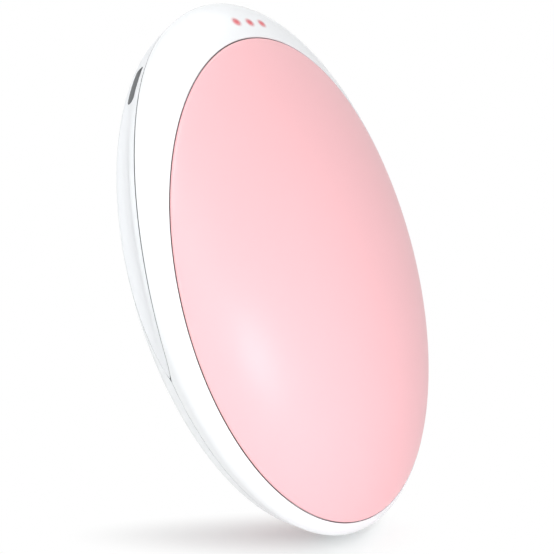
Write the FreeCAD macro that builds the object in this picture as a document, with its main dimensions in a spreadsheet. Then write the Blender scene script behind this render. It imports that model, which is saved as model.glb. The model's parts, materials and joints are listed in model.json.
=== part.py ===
# Rechargeable hand warmer: a pebble of two shells with a domed heating panel on each face.
# Frame: +Z along the length with the lamps at the top, X across the width, the front panel faces -Y.
# The shells part in the plane y = 0 and the origin is the pebble's centre. Millimetres.
import FreeCAD, Part
import math
import os
import re
import Sketcher
from FreeCAD import Placement, Rotation, Vector

SIZES = {
    # pebble: two half ellipsoids on a short straight band
    "body_length": 110.0,
    "body_width": 70.0,
    "body_thickness": 28.4,
    "side_band": 4.0,
    "wall": 2.2,
    # heating panels, set flush in the shells
    "panel_end_margin": 6.55,
    "panel_side_margin": 2.65,
    "panel_drop": 2.7,
    "panel_thickness": 1.0,
    "panel_gap": 0.16,
    "panel_edge_round": 0.25,
    "ledge_width": 5.0,
    "tape_thickness": 0.3,
    "bond_gap": 0.05,
    # film heaters, their sensors and the foam behind them
    "heater_margin": 1.0,
    "heater_thickness": 0.25,
    "foam_gap": 0.3,
    "sensor_length": 1.6,
    "sensor_width": 0.8,
    "sensor_rise_share": 0.43,
    # spindle-shaped side strips, long in shares of the body's length
    "strip_length_share": 0.533,
    "strip_width": 7.1,
    "strip_rise_share": 0.42,
    "strip_tip_share": 0.12,
    "strip_gap": 0.1,
    "strip_flange_reach": 1.0,
    "strip_flange_thickness": 1.0,
    "groove_rise_share": 0.3636,
    "groove_bend_share": 0.982,
    "groove_width": 3.0,
    "groove_depth": 0.7,
    # charging port behind the slot
    "port_rise_share": 0.7527,
    "slot_length": 7.2,
    "slot_width": 2.3,
    "port_length": 7.6,
    "port_height": 2.6,
    "port_depth": 5.2,
    "port_wall": 0.3,
    "port_cover": 1.3,
    "port_clearance": 0.15,
    "tongue_length": 4.6,
    "tongue_height": 0.7,
    "tongue_reach": 3.6,
    "contact_width": 0.4,
    "contact_height": 0.15,
    "contact_pitch": 0.8,
    "contact_reach": 3.2,
    # lamps
    "lamp_rise_share": 0.894,
    "lamp_pitch": 3.15,
    "lamp_diameter": 1.25,
    "led_length": 1.6,
    "led_width": 0.8,
    "led_height": 0.6,
    # power button and its switch
    "button_rise_share": 0.4055,
    "button_length": 9.5,
    "button_width": 3.6,
    "button_proud": 0.35,
    "button_gap": 0.15,
    "button_seat_gap": 0.45,
    "button_travel": 0.4,
    "button_flange_reach": 0.7,
    "button_flange_thickness": 0.8,
    "button_stem_length": 1.2,
    "button_stem_diameter": 2.0,
    "switch_length": 6.0,
    "switch_height": 2.6,
    "switch_depth": 3.4,
    "plunger_diameter": 1.5,
    "plunger_reach": 0.8,
    "plunger_guide": 1.2,
    "plunger_gap": 0.1,
    # board and frame
    "board_thickness": 1.2,
    "board_inset": 4.4,
    "board_foot_gap": 6.5,
    "frame_thickness": 1.2,
    "frame_inset": 4.4,
    "frame_window_gap": 5.7,
    "frame_clearance": 0.3,
    # battery
    "cell_head_share": 0.1545,
    "cell_tail_share": 0.6455,
    "cell_side_margin": 16.0,
    "cell_thickness": 5.2,
    "cell_corner": 3.0,
    "cell_gap": 0.2,
    "tab_width": 3.5,
    "tab_thickness": 0.15,
    "tab_length": 2.0,
    "tab_spacing_share": 0.42,
    "guard_margin": 5.0,
    "guard_width": 3.2,
    "guard_thickness": 1.0,
    "guard_lift": 0.3,
    # posts and screws
    "post_diameter": 4.8,
    "post_root": 0.6,
    "screw_diameter": 2.0,
    "screw_head_diameter": 3.4,
    "screw_head_height": 1.0,
    "screw_bite": 4.5,
    "screw_clearance": 0.15,
    "board_screw_diameter": 1.6,
    "board_screw_head_diameter": 2.8,
    "board_screw_head_height": 0.8,
    "board_boss_diameter": 3.6,
    "board_boss_height": 2.4,
    # parts on the board
    "chip_length": 5.0,
    "chip_height": 0.9,
    "coil_length": 5.6,
    "coil_height": 2.6,
    "capacitor_length": 2.0,
    "capacitor_width": 1.2,
    "capacitor_height": 1.1,
    "transistor_length": 3.2,
    "transistor_width": 2.8,
    "transistor_height": 1.0,
    "plug_length": 4.4,
    "plug_width": 3.0,
    "plug_height": 3.0,
    # leads
    "lead_diameter": 0.8,
    "lead_pitch": 1.6,
    "lead_bow": 1.2,
    "lead_drop": 5.0,
    # how far a cutting tool runs past what it cuts
    "overrun": 2.0,
}

# Heights are shares of the half length. Places of posts and of parts on the board are shares of the half
# width and the half length.
UPPER_POST_SHARES = (0.600, 0.510)
LOWER_POST_SHARES = (0.443, -0.718)
BOARD_SCREW_SHARES = (0.40, 0.42)
CONTROLLER_SHARES = (0.10, 0.62)
CHARGER_SHARES = (-0.22, 0.58)
COIL_SHARES = (0.29, 0.64)
CAPACITOR_SHARES = ((-0.06, 0.50), (0.06, 0.50), (0.18, 0.50), (-0.10, 0.72))
TRANSISTOR_SHARES = ((0.12, 0.79), (-0.12, 0.79))
BATTERY_PLUG_SHARES = (0.0, 0.40)
FRONT_PLUG_SHARES = (0.24, 0.40)
REAR_PLUG_SHARES = (-0.24, 0.40)
# How much of the shorter run beside a bend of a lead the bend takes up.
LEAD_BEND_SHARE = 0.45

FRONT = -1
REAR = 1
LEFT = -1
RIGHT = 1
SIDE_NAMES = {FRONT: "front", REAR: "rear"}
HAND_NAMES = {LEFT: "left", RIGHT: "right"}
ALONG_Y = Rotation(Vector(1, 0, 0), -90)
ALONG_X = Rotation(Vector(0, 1, 0), 90)
LAID_IN_XZ = Rotation(Vector(1, 1, 1), 240)
LAID_IN_XZ_WIDE = Rotation(Vector(1, 0, 0), -90)
LAID_IN_YZ = Rotation(Vector(0, 1, 0), -90)

doc = FreeCAD.newDocument("hand_warmer")
sheet = doc.addObject("Spreadsheet::Sheet", "sizes")
for row, (alias, number) in enumerate(SIZES.items(), 1):
    sheet.set(f"A{row}", alias)
    sheet.set(f"B{row}", str(number))
    sheet.setAlias(f"B{row}", alias)
doc.recompute()

parts = {}


def size(alias):
    """A driving dimension, as the sheet holds it."""
    return float(sheet.get(alias))


def formula(text):
    """The text with each size's name led by the sheet's name."""
    return re.sub(r"\b(?!sqrt\b)([a-z][a-z_]+)\b", r"sizes.\1", str(text))


def feature(kind, name, **bound):
    """An object of the document whose properties follow the sheet."""
    made = doc.addObject(kind, name)
    for prop, text in bound.items():
        made.setExpression(prop, formula(text))
    return made


def at(made, x=None, y=None, z=None):
    """Binds the object's place to the sheet."""
    for axis, text in (("x", x), ("y", y), ("z", z)):
        if text is not None:
            made.setExpression(f"Placement.Base.{axis}", formula(text))
    return made


def keep(node, made):
    """Marks an object as one of the pieces, under the piece's name."""
    made.Label = node
    parts[node] = made
    return made


def cut(name, base, *tools):
    """The base with each tool taken out of it in turn."""
    for number, tool in enumerate(tools, 1):
        made = doc.addObject("Part::Cut", f"{name}_{number}")
        made.Base = base
        made.Tool = tool
        base = made
    return base


def fuse(name, *shapes):
    made = doc.addObject("Part::MultiFuse", name)
    made.Shapes = list(shapes)
    return made


def common(name, *shapes):
    made = doc.addObject("Part::MultiCommon", name)
    made.Shapes = list(shapes)
    return made


def group(name, shapes):
    made = doc.addObject("Part::Compound", name)
    made.Links = list(shapes)
    return made


def solid(name, shape):
    """A piece whose shape no feature gives, made from the sheet's sizes."""
    made = doc.addObject("Part::Feature", name)
    made.Shape = shape
    return made


def block(name, x, y, z):
    """A box given by its low corner and its length along each axis."""
    made = feature("Part::Box", name, Length=x[1], Width=y[1], Height=z[1])
    return at(made, x[0], y[0], z[0])


def rod(name, diameter, y, x, z):
    """A cylinder along Y, given by its start and length there."""
    made = feature("Part::Cylinder", name, Radius=f"({diameter}) / 2", Height=y[1])
    made.Placement = Placement(Vector(), ALONG_Y)
    return at(made, x, y[0], z)


def oval_prism(name, half_x, half_z, rise, y, wide=False):
    """An ellipse drawn out along Y. Its long axis lies along Z, or along X where it is wider than high."""
    longer, shorter = (half_x, half_z) if wide else (half_z, half_x)
    outline = feature("Part::Ellipse", name + "_outline", MajorRadius=longer, MinorRadius=shorter)
    outline.Placement = Placement(Vector(), LAID_IN_XZ_WIDE if wide else LAID_IN_XZ)
    at(outline, y=y[0], z=rise)
    made = feature("Part::Extrusion", name, LengthFwd=y[1])
    made.Base = outline
    made.DirMode = "Custom"
    made.Dir = Vector(0, 1, 0)
    made.Solid = True
    return made


# The pebble at a given inset from its outer surface, in halves and whole.
forms = {}


def half_pebble(side, inset="0"):
    if (side, inset) in forms:
        return forms[side, inset]
    name = f"{SIDE_NAMES[side]}_form_{len(forms)}"
    half_x = f"body_width / 2 - ({inset})"
    half_z = f"body_length / 2 - ({inset})"
    crown = f"(body_thickness - side_band) / 2 - ({inset})"
    cap = feature("Part::Ellipsoid", name + "_cap", Radius1=crown, Radius2=half_x, Radius3=half_z)
    cap.Angle1 = 0
    cap.Angle2 = 90
    cap.Placement = Placement(Vector(), Rotation(Vector(1, 0, 0), -90 * side))
    at(cap, y=f"{side} * side_band / 2")
    start = "-side_band / 2" if side == FRONT else "0"
    band = oval_prism(name + "_band", half_x, half_z, "0", (start, "side_band / 2"))
    forms[side, inset] = fuse(name, cap, band)
    return forms[side, inset]


def whole_pebble(inset="0"):
    if inset not in forms:
        forms[inset] = fuse(f"whole_form_{len(forms)}", half_pebble(FRONT, inset), half_pebble(REAR, inset))
    return forms[inset]


def dome_height(inset, x, z):
    """Distance from the parting plane to the dome at the given inset, over the point x, z."""
    band = size("side_band") / 2
    crown = size("body_thickness") / 2 - band - inset
    across = x / (size("body_width") / 2 - inset)
    along = z / (size("body_length") / 2 - inset)
    return band + crown * math.sqrt(1 - across ** 2 - along ** 2)


def side_place(hand, rise_share):
    """The place on the side outline at a height, with local X pointing out of the body."""
    half_width = size("body_width") / 2
    half_length = size("body_length") / 2
    point = Vector(hand * half_width * math.sqrt(1 - rise_share ** 2), 0, rise_share * half_length)
    turn = math.degrees(math.atan2(-point.z / half_length ** 2, point.x / half_width ** 2))
    return Placement(point, Rotation(Vector(0, 1, 0), turn))


def stadium(name, place, length, width, x):
    """A slot shape with its length along local Z, padded along local X from its start."""
    body = doc.addObject("PartDesign::Body", name)
    sketch = body.newObject("Sketcher::SketchObject", name + "_sketch")
    plane = next(part for part in body.Origin.OriginFeatures if part.Role == "YZ_Plane")
    sketch.AttachmentSupport = [(plane, "")]
    sketch.MapMode = "FlatFace"
    axis = Vector(0, 0, 1)
    low = sketch.addGeometry(Part.ArcOfCircle(Part.Circle(Vector(0, -1), axis, 1), math.pi, 2 * math.pi))
    right = sketch.addGeometry(Part.LineSegment(Vector(1, -1), Vector(1, 1)))
    high = sketch.addGeometry(Part.ArcOfCircle(Part.Circle(Vector(0, 1), axis, 1), 0, math.pi))
    left = sketch.addGeometry(Part.LineSegment(Vector(-1, 1), Vector(-1, -1)))
    first, last, centre = 1, 2, 3
    for one, other in ((low, right), (right, high), (high, left), (left, low)):
        sketch.addConstraint(Sketcher.Constraint("Tangent", one, last, other, first))
    sketch.addConstraint(Sketcher.Constraint("Equal", low, high))
    sketch.addConstraint(Sketcher.Constraint("Vertical", right))
    sketch.addConstraint(Sketcher.Constraint("Symmetric", low, centre, high, centre, -1, first))
    round_end = sketch.addConstraint(Sketcher.Constraint("Radius", low, 1))
    spread = sketch.addConstraint(Sketcher.Constraint("DistanceY", low, centre, high, centre, 2))
    sketch.setExpression(f"Constraints[{round_end}]", formula(f"({width}) / 2"))
    sketch.setExpression(f"Constraints[{spread}]", formula(f"({length}) - ({width})"))
    sketch.setExpression("AttachmentOffset.Base.z", formula(x[0]))
    pad = body.newObject("PartDesign::Pad", name + "_pad")
    pad.Profile = sketch
    pad.setExpression("Length", formula(x[1]))
    body.Tip = pad
    body.Placement = place
    return body


def side_block(name, place, x, y, z):
    """A box in the frame of a place on the side."""
    made = feature("Part::Box", name, Length=x[1], Width=y[1], Height=z[1])
    corner = Vector(x[0], y[0], z[0])
    made.Placement = place.multiply(Placement(corner, Rotation()))
    return made


def side_rod(name, place, diameter, x):
    """A cylinder along the outward direction of a place on the side."""
    made = feature("Part::Cylinder", name, Radius=f"({diameter}) / 2", Height=x[1])
    made.Placement = place.multiply(Placement(Vector(x[0], 0, 0), ALONG_X))
    return made


half_width = size("body_width") / 2
half_length = size("body_length") / 2
panel_half_width = "(body_width / 2 - panel_side_margin)"
panel_half_length = "(body_length / 2 - panel_end_margin)"
strip_rise = "(strip_rise_share * body_length / 2)"
lamp_rise = "(lamp_rise_share * body_length / 2)"
sensor_rise = "(sensor_rise_share * body_length / 2)"
cell_head = "(cell_head_share * body_length / 2)"
cell_length = "((cell_head_share + cell_tail_share) * body_length / 2)"
cell_width = "(body_width - 2 * cell_side_margin)"
cell_length_size = (size("cell_head_share") + size("cell_tail_share")) * half_length
cell_width_size = size("body_width") - 2 * size("cell_side_margin")
guard_length = f"({cell_width} - 2 * guard_margin)"
recess = "panel_thickness + tape_thickness"
board_face = "port_height / 2"
board_back = board_face + " + board_thickness"
frame_back = board_back + " + frame_thickness"
cell_reach = "cell_gap / 2 + cell_thickness"
heater_back = "panel_thickness + bond_gap + heater_thickness"
heater_back_size = size("panel_thickness") + size("bond_gap") + size("heater_thickness")
board_face_size = size("port_height") / 2
board_back_size = board_face_size + size("board_thickness")


# Heating faces: panel, tape, film heater, temperature sensor and foam.
def face_span(side):
    """Start and length along Y of a prism that covers one face from the parting plane outwards."""
    length = "body_thickness / 2 + overrun"
    return (f"-({length})" if side == FRONT else "0", length)


def panel_prism(name, side, grow):
    half_x = f"{panel_half_width} + ({grow})"
    half_z = f"{panel_half_length} + ({grow})"
    return oval_prism(name, half_x, half_z, "-panel_drop", face_span(side))


def is_outer_rim(edge):
    """The panel's outer rim is the edge that runs all round on the pebble's surface."""
    point = edge.valueAt((edge.FirstParameter + edge.LastParameter) / 2)
    on_surface = abs(abs(point.y) - dome_height(0.0, point.x, point.z)) < size("bond_gap")
    return on_surface and edge.Length > half_length


def panel(side):
    word = SIDE_NAMES[side]
    blank = common(word + "_panel_blank", panel_prism(word + "_panel_prism", side, "0"), half_pebble(side))
    plate = cut(word + "_panel_plate", blank, half_pebble(side, "panel_thickness"))
    doc.recompute()
    rim = [number for number, edge in enumerate(plate.Shape.Edges, 1) if is_outer_rim(edge)]
    made = doc.addObject("Part::Fillet", word + "_panel_rounded")
    made.Base = plate
    made.Edges = [(number, size("panel_edge_round"), size("panel_edge_round")) for number in rim]
    keep(word + "_panel", made)


def panel_tape(side):
    word = SIDE_NAMES[side]
    outline = panel_prism(word + "_tape_prism", side, "-panel_gap")
    ring = common(word + "_tape_blank", outline, half_pebble(side, "panel_thickness + bond_gap"))
    window = panel_prism(word + "_tape_window", side, "-ledge_width")
    keep(word + "_panel_tape", cut(word + "_tape", ring, half_pebble(side, recess + " - bond_gap"), window))


def heater(side):
    word = SIDE_NAMES[side]
    outline = panel_prism(word + "_film_prism", side, "-ledge_width - heater_margin")
    film = common(word + "_film_blank", outline, half_pebble(side, "panel_thickness + bond_gap"))
    keep(word + "_heater", cut(word + "_film", film, half_pebble(side, heater_back)))
    inset = heater_back_size + size("bond_gap")
    top = size("sensor_rise_share") * half_length + size("sensor_width") / 2
    height = dome_height(inset, size("sensor_length") / 2, top)
    bead = block(word + "_bead", ("-sensor_length / 2", "sensor_length"), ("0", "sensor_width"),
                 (f"{sensor_rise} - sensor_width / 2", "sensor_width"))
    at(bead, y=f"{-height}" if side == FRONT else f"{height} - sensor_width")
    keep(word + "_thermistor", bead)


def foam(side):
    word = SIDE_NAMES[side]
    depth = f"body_thickness / 2 - ({cell_reach}) - bond_gap"
    start = "-body_thickness / 2" if side == FRONT else f"{cell_reach} + bond_gap"
    pad = oval_prism(word + "_foam_prism", f"{cell_width} / 2", f"{cell_length} / 2",
                     f"{cell_head} - {cell_length} / 2", (start, depth), cell_width_size > cell_length_size)
    keep(word + "_insulation_pad", common(word + "_foam", pad, half_pebble(side, heater_back + " + foam_gap")))


for side in (FRONT, REAR):
    panel(side)
    panel_tape(side)
    heater(side)
    foam(side)


# Side strips: a spindle is what two wide ellipses, set off from the parting plane, have in common.
def spindle(name, hand, grow):
    half_y = f"strip_width / 2 / (1 - strip_tip_share) + ({grow})"
    half_z = f"strip_length_share * body_length / 2 / sqrt(1 - strip_tip_share ^ 2) + ({grow})"
    offset = "strip_width / 2 / (1 - strip_tip_share) * strip_tip_share"
    halves = []
    for side in (FRONT, REAR):
        word = SIDE_NAMES[side]
        outline = feature("Part::Ellipse", f"{name}_{word}_line", MajorRadius=half_z, MinorRadius=half_y)
        outline.Placement = Placement(Vector(), LAID_IN_YZ)
        at(outline, y=f"{side} * {offset}", z=strip_rise)
        half = feature("Part::Extrusion", f"{name}_{word}", LengthFwd="body_width / 2 + overrun")
        half.Base = outline
        half.DirMode = "Custom"
        half.Dir = Vector(hand, 0, 0)
        half.Solid = True
        halves.append(half)
    return common(name, *halves)


def strip_blank(hand):
    """The strip's face, flush with the pebble, and the flange that the shells trap behind their walls."""
    word = HAND_NAMES[hand]
    face = common(word + "_strip_face", spindle(word + "_strip_line", hand, "-strip_gap"), whole_pebble())
    behind = whole_pebble("wall + strip_gap")
    edge = spindle(word + "_flange_line", hand, "strip_flange_reach")
    flange = common(word + "_strip_flange", edge, behind)
    both = fuse(word + "_strip_both", face, flange)
    return cut(word + "_strip_blank", both, whole_pebble("wall + strip_flange_thickness"))


def finger_groove(hand):
    """A hollow that is deepest at its middle and runs out at both ends."""
    tube = "groove_width ^ 2 / 8 / groove_depth + groove_depth / 2"
    tube_size = size("groove_width") ** 2 / 8 / size("groove_depth") + size("groove_depth") / 2
    bend = "groove_bend_share * body_length"
    bend_size = size("groove_bend_share") * size("body_length")
    ring = feature("Part::Torus", HAND_NAMES[hand] + "_groove", Radius1=bend, Radius2=tube)
    centre = Vector(tube_size - size("groove_depth") - bend_size, 0, 0)
    ring.Placement = side_place(hand, size("groove_rise_share")).multiply(Placement(centre, ALONG_Y))
    return ring


strip_depth = "wall + strip_flange_thickness"
deep_start = f"-({strip_depth}) - overrun"
port_place = side_place(LEFT, size("port_rise_share"))
button_place = side_place(RIGHT, size("button_rise_share"))
slot = stadium("slot", port_place, "slot_length", "slot_width", (deep_start, f"{strip_depth} + 2 * overrun"))
port_pocket = stadium("port_pocket", port_place, "port_length + 2 * port_clearance",
                      "port_height + 2 * port_clearance",
                      (deep_start, f"{strip_depth} + overrun - port_cover + port_clearance"))
keep("port_side_strip", cut("port_strip", strip_blank(LEFT), finger_groove(LEFT), slot, port_pocket))
button_hole = stadium("button_hole", button_place, "button_length + 2 * button_gap",
                      "button_width + 2 * button_gap", (deep_start, f"{strip_depth} + 2 * overrun"))
keep("button_side_strip", cut("button_strip", strip_blank(RIGHT), button_hole))


# Power button: a cap that stands a little proud, a flange that stops it leaving, and a stem.
def power_button():
    flange_back = f"-({strip_depth}) - button_seat_gap - button_flange_thickness"
    cap = stadium("button_cap", button_place, "button_length", "button_width",
                  (flange_back, f"{strip_depth} + button_seat_gap + button_flange_thickness + overrun"))
    flange = stadium("button_flange", button_place, "button_length + 2 * button_flange_reach",
                     "button_width + 2 * button_flange_reach", (flange_back, "button_flange_thickness"))
    stem_start = -(size("wall") + size("strip_flange_thickness") + size("button_seat_gap")
                   + size("button_flange_thickness") + size("button_stem_length"))
    stem = side_rod("button_stem", button_place, "button_stem_diameter",
                    (stem_start, "button_stem_length + button_flange_thickness / 2"))
    crowned = common("button_crowned", cap, whole_pebble("-button_proud"))
    keep("power_button", fuse("button_whole", crowned, flange, stem))
    return stem_start


def switch(stem_end):
    """A side-acting push switch on the board, with its plunger against the button's stem."""
    tip = stem_end - size("bond_gap")
    face = tip - size("plunger_reach")
    back = face - size("switch_depth")
    case = side_block("switch_case", button_place, (back, "switch_depth"),
                      (board_face_size - size("switch_height"), "switch_height"),
                      (-size("switch_length") / 2, "switch_length"))
    room = face - size("plunger_guide") - size("button_travel") - 2 * size("plunger_gap")
    bore = side_rod("switch_bore", button_place, "plunger_diameter + 2 * plunger_gap",
                    (room, "plunger_guide + button_travel + 2 * plunger_gap + overrun"))
    keep("switch_body", cut("switch_hollow", case, bore))
    plunger = side_rod("plunger", button_place, "plunger_diameter",
                       (face - size("plunger_guide"), "plunger_guide + plunger_reach"))
    keep("switch_plunger", plunger)


switch(power_button())


# Posts and screws that hold the two shells and the frame between them.
def post_places():
    for x_share, z_share in (UPPER_POST_SHARES, LOWER_POST_SHARES):
        for hand in (LEFT, RIGHT):
            yield hand * x_share * half_width, z_share * half_length


def screw_seat(x, z):
    """Height of a screw head's underside, so that the whole head stays below the panel's tape."""
    inset = size("panel_thickness") + size("tape_thickness")
    reach = size("screw_head_diameter") / 2 + size("screw_clearance")
    steps = 16
    turns = [2 * math.pi * step / steps for step in range(steps)]
    lowest = min(dome_height(inset, x + reach * math.cos(turn), z + reach * math.sin(turn)) for turn in turns)
    return lowest - size("screw_head_height") - size("screw_clearance")


def shell(side):
    word = SIDE_NAMES[side]
    wall = cut(word + "_shell_wall", half_pebble(side), half_pebble(side, "wall"))
    seat = cut(word + "_seat", panel_prism(word + "_seat_prism", side, "panel_gap"), half_pebble(side, recess))
    window = panel_prism(word + "_shell_window", side, "-ledge_width")
    openings = [seat, window]
    openings += [spindle(f"{word}_{HAND_NAMES[hand]}_cut", hand, "0") for hand in (LEFT, RIGHT)]
    if side == FRONT:
        openings += [rod(f"lamp_hole_{step}", "lamp_diameter", face_span(FRONT),
                         f"{step} * lamp_pitch", lamp_rise) for step in (-1, 0, 1)]
    opened = cut(word + "_shell_opened", wall, *openings)
    posts = []
    holes = []
    for number, (x, z) in enumerate(post_places()):
        name = f"{word}_post_{number}"
        if side == FRONT:
            span = ("-body_thickness / 2", f"body_thickness / 2 + {board_back}")
            bite = (f"{board_back} - screw_bite - overrun / 2", "screw_bite + overrun")
            holes.append(rod(name + "_pilot", "screw_diameter + 2 * bond_gap", bite, x, z))
        else:
            span = (frame_back, f"body_thickness / 2 - ({frame_back})")
            holes.append(rod(name + "_bore", "screw_diameter + 2 * screw_clearance", face_span(REAR), x, z))
            sink = (screw_seat(x, z), "body_thickness / 2")
            holes.append(rod(name + "_sink", "screw_head_diameter + 2 * screw_clearance", sink, x, z))
        post = rod(name, "post_diameter", span, x, z)
        posts.append(common(name + "_trimmed", post, whole_pebble("wall - post_root")))
    keep(word + "_shell", cut(word + "_shell_drilled", fuse(word + "_shell_posted", opened, *posts), *holes))


for side in (FRONT, REAR):
    shell(side)


def screw(name, diameter, head_diameter, head_height, tip, seat, x, z, head_side):
    """A pan-head screw along Y. The head lies on the given side of its seat."""
    shank = rod(name + "_shank", diameter, (min(tip, seat), abs(seat - tip)), x, z)
    start = f"{seat}" if head_side == REAR else f"{seat} - {head_height}"
    head = rod(name + "_head", head_diameter, (start, head_height), x, z)
    return fuse(name, shank, head)


shell_screws = []
for number, (x, z) in enumerate(post_places()):
    tip = board_back_size - size("screw_bite")
    shell_screws.append(screw(f"shell_screw_{number}", "screw_diameter", "screw_head_diameter",
                              "screw_head_height", tip, screw_seat(x, z), x, z, REAR))
keep("shell_screws", group("shell_screw_set", shell_screws))


# Frame that locates the battery, and the board on its front face. Both have a notch for the button's flange.
flange_travel = f"{strip_depth} + button_seat_gap + button_flange_thickness + button_travel + frame_clearance"
button_notch = stadium("button_notch", button_place,
                       "button_length + 2 * (button_flange_reach + frame_clearance)",
                       "button_width + 2 * (button_flange_reach + frame_clearance)",
                       (f"-({flange_travel})", f"{flange_travel} + overrun"))
board_screw_places = [(hand * BOARD_SCREW_SHARES[0] * half_width, BOARD_SCREW_SHARES[1] * half_length)
                      for hand in (LEFT, RIGHT)]


def inner_frame():
    plate = oval_prism("frame_plate", "body_width / 2 - frame_inset", "body_length / 2 - frame_inset", "0",
                       (board_back, "frame_thickness"))
    window = block("frame_window",
                   (f"-{cell_width} / 2 - frame_clearance", f"{cell_width} + 2 * frame_clearance"),
                   (f"{board_back} - overrun", "frame_thickness + 2 * overrun"),
                   (f"{cell_head} - {cell_length} - frame_clearance",
                    f"frame_window_gap + {cell_length} + frame_clearance"))
    bosses = [rod(f"frame_boss_{number}", "board_boss_diameter",
                  (board_back, "frame_thickness + board_boss_height"), x, z)
              for number, (x, z) in enumerate(board_screw_places)]
    pilots = [rod(f"frame_pilot_{number}", "board_screw_diameter + 2 * bond_gap",
                  (f"{board_back} - overrun", "frame_thickness + board_boss_height + overrun"), x, z)
              for number, (x, z) in enumerate(board_screw_places)]
    holes = [rod(f"frame_hole_{number}", "screw_diameter + 2 * screw_clearance",
                 (f"{board_back} - overrun", "frame_thickness + 2 * overrun"), x, z)
             for number, (x, z) in enumerate(post_places())]
    bossed = fuse("frame_bossed", plate, *bosses)
    keep("inner_frame", cut("frame", bossed, window, button_notch, *pilots, *holes))


def control_board():
    plate = oval_prism("board_plate", "body_width / 2 - board_inset", "body_length / 2 - board_inset", "0",
                       (board_face, "board_thickness"))
    upper = block("board_upper", ("-body_width / 2", "body_width"), (board_face, "board_thickness"),
                  (f"{cell_head} + board_foot_gap", "body_length / 2"))
    holes = [rod(f"board_hole_{number}", "post_diameter + 2 * frame_clearance",
                 (f"{board_face} - overrun", "board_thickness + 2 * overrun"), x, z)
             for number, (x, z) in enumerate(post_places())]
    holes += [rod(f"board_screw_hole_{number}", "board_screw_diameter + 2 * screw_clearance",
                  (f"{board_face} - overrun", "board_thickness + 2 * overrun"), x, z)
              for number, (x, z) in enumerate(board_screw_places)]
    keep("control_board", cut("board", common("board_outline", plate, upper), button_notch, *holes))


inner_frame()
control_board()
tip = board_back_size + size("frame_thickness") + size("board_boss_height") - size("screw_clearance")
keep("board_screws", group("board_screw_set", [
    screw(f"board_screw_{number}", "board_screw_diameter", "board_screw_head_diameter",
          "board_screw_head_height", tip, board_face_size, x, z, FRONT)
    for number, (x, z) in enumerate(board_screw_places)]))


# Parts soldered to the board's front face.
def board_block(name, shares, length, width, height):
    x, z = shares[0] * half_width, shares[1] * half_length
    return block(name, (f"{x} - {length} / 2", length), (f"{board_face} - {height}", height),
                 (f"{z} - {width} / 2", width))


keep("controller_chip",
     board_block("controller", CONTROLLER_SHARES, "chip_length", "chip_length", "chip_height"))
keep("charging_chip", board_block("charger", CHARGER_SHARES, "chip_length", "chip_length", "chip_height"))
keep("power_inductor", board_block("coil", COIL_SHARES, "coil_length", "coil_length", "coil_height"))
keep("board_capacitors", group("capacitor_set", [
    board_block(f"capacitor_{number}", shares, "capacitor_length", "capacitor_width", "capacitor_height")
    for number, shares in enumerate(CAPACITOR_SHARES)]))
keep("heater_transistors", group("transistor_set", [
    board_block(f"transistor_{number}", shares, "transistor_length", "transistor_width", "transistor_height")
    for number, shares in enumerate(TRANSISTOR_SHARES)]))
keep("battery_connector",
     board_block("battery_plug", BATTERY_PLUG_SHARES, "plug_length", "plug_width", "plug_height"))
keep("heater_connectors", group("heater_plug_set", [
    board_block(f"heater_plug_{number}", shares, "plug_length", "plug_width", "plug_height")
    for number, shares in enumerate((FRONT_PLUG_SHARES, REAR_PLUG_SHARES))]))


# Lamps: a lamp on the board and a light guide through the front shell for each.
for number, step in enumerate((-1, 0, 1), 1):
    lamp = block(f"led_{number}", (f"{step} * lamp_pitch - led_length / 2", "led_length"),
                 (f"{board_face} - led_height", "led_height"), (f"{lamp_rise} - led_width / 2", "led_width"))
    keep(f"indicator_led_{number}", lamp)
    guide = rod(f"guide_{number}", "lamp_diameter - 2 * bond_gap",
                ("-body_thickness / 2", f"body_thickness / 2 + {board_face} - led_height - bond_gap"),
                f"{step} * lamp_pitch", lamp_rise)
    keep(f"indicator_lens_{number}", common(f"guide_trimmed_{number}", guide, whole_pebble()))


# Charging port: a metal cup on the board, a tongue on the cup's back and contacts on the tongue.
def charging_port():
    back = "-port_cover - port_depth"
    cup = stadium("port_cup", port_place, "port_length", "port_height", (back, "port_depth"))
    hollow = stadium("port_hollow", port_place, "port_length - 2 * port_wall", "port_height - 2 * port_wall",
                     (f"{back} + port_wall", "port_depth"))
    keep("charge_port_shell", cut("port_shell", cup, hollow))
    root = -size("port_cover") - size("port_depth") + size("port_wall")
    tongue = side_block("port_tongue", port_place, (root, "tongue_reach"),
                        (-size("tongue_height") / 2, "tongue_height"),
                        (-size("tongue_length") / 2, "tongue_length"))
    keep("charge_port_tongue", tongue)
    pins = []
    for number in range(-2, 3):
        side_edge = number * size("contact_pitch") - size("contact_width") / 2
        pins.append(side_block(f"port_pin_{number + 2}", port_place, (root, "contact_reach"),
                               (-size("tongue_height") / 2 - size("contact_height"), "contact_height"),
                               (side_edge, "contact_width")))
    keep("charge_port_contacts", group("port_pin_set", pins))


charging_port()


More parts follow.
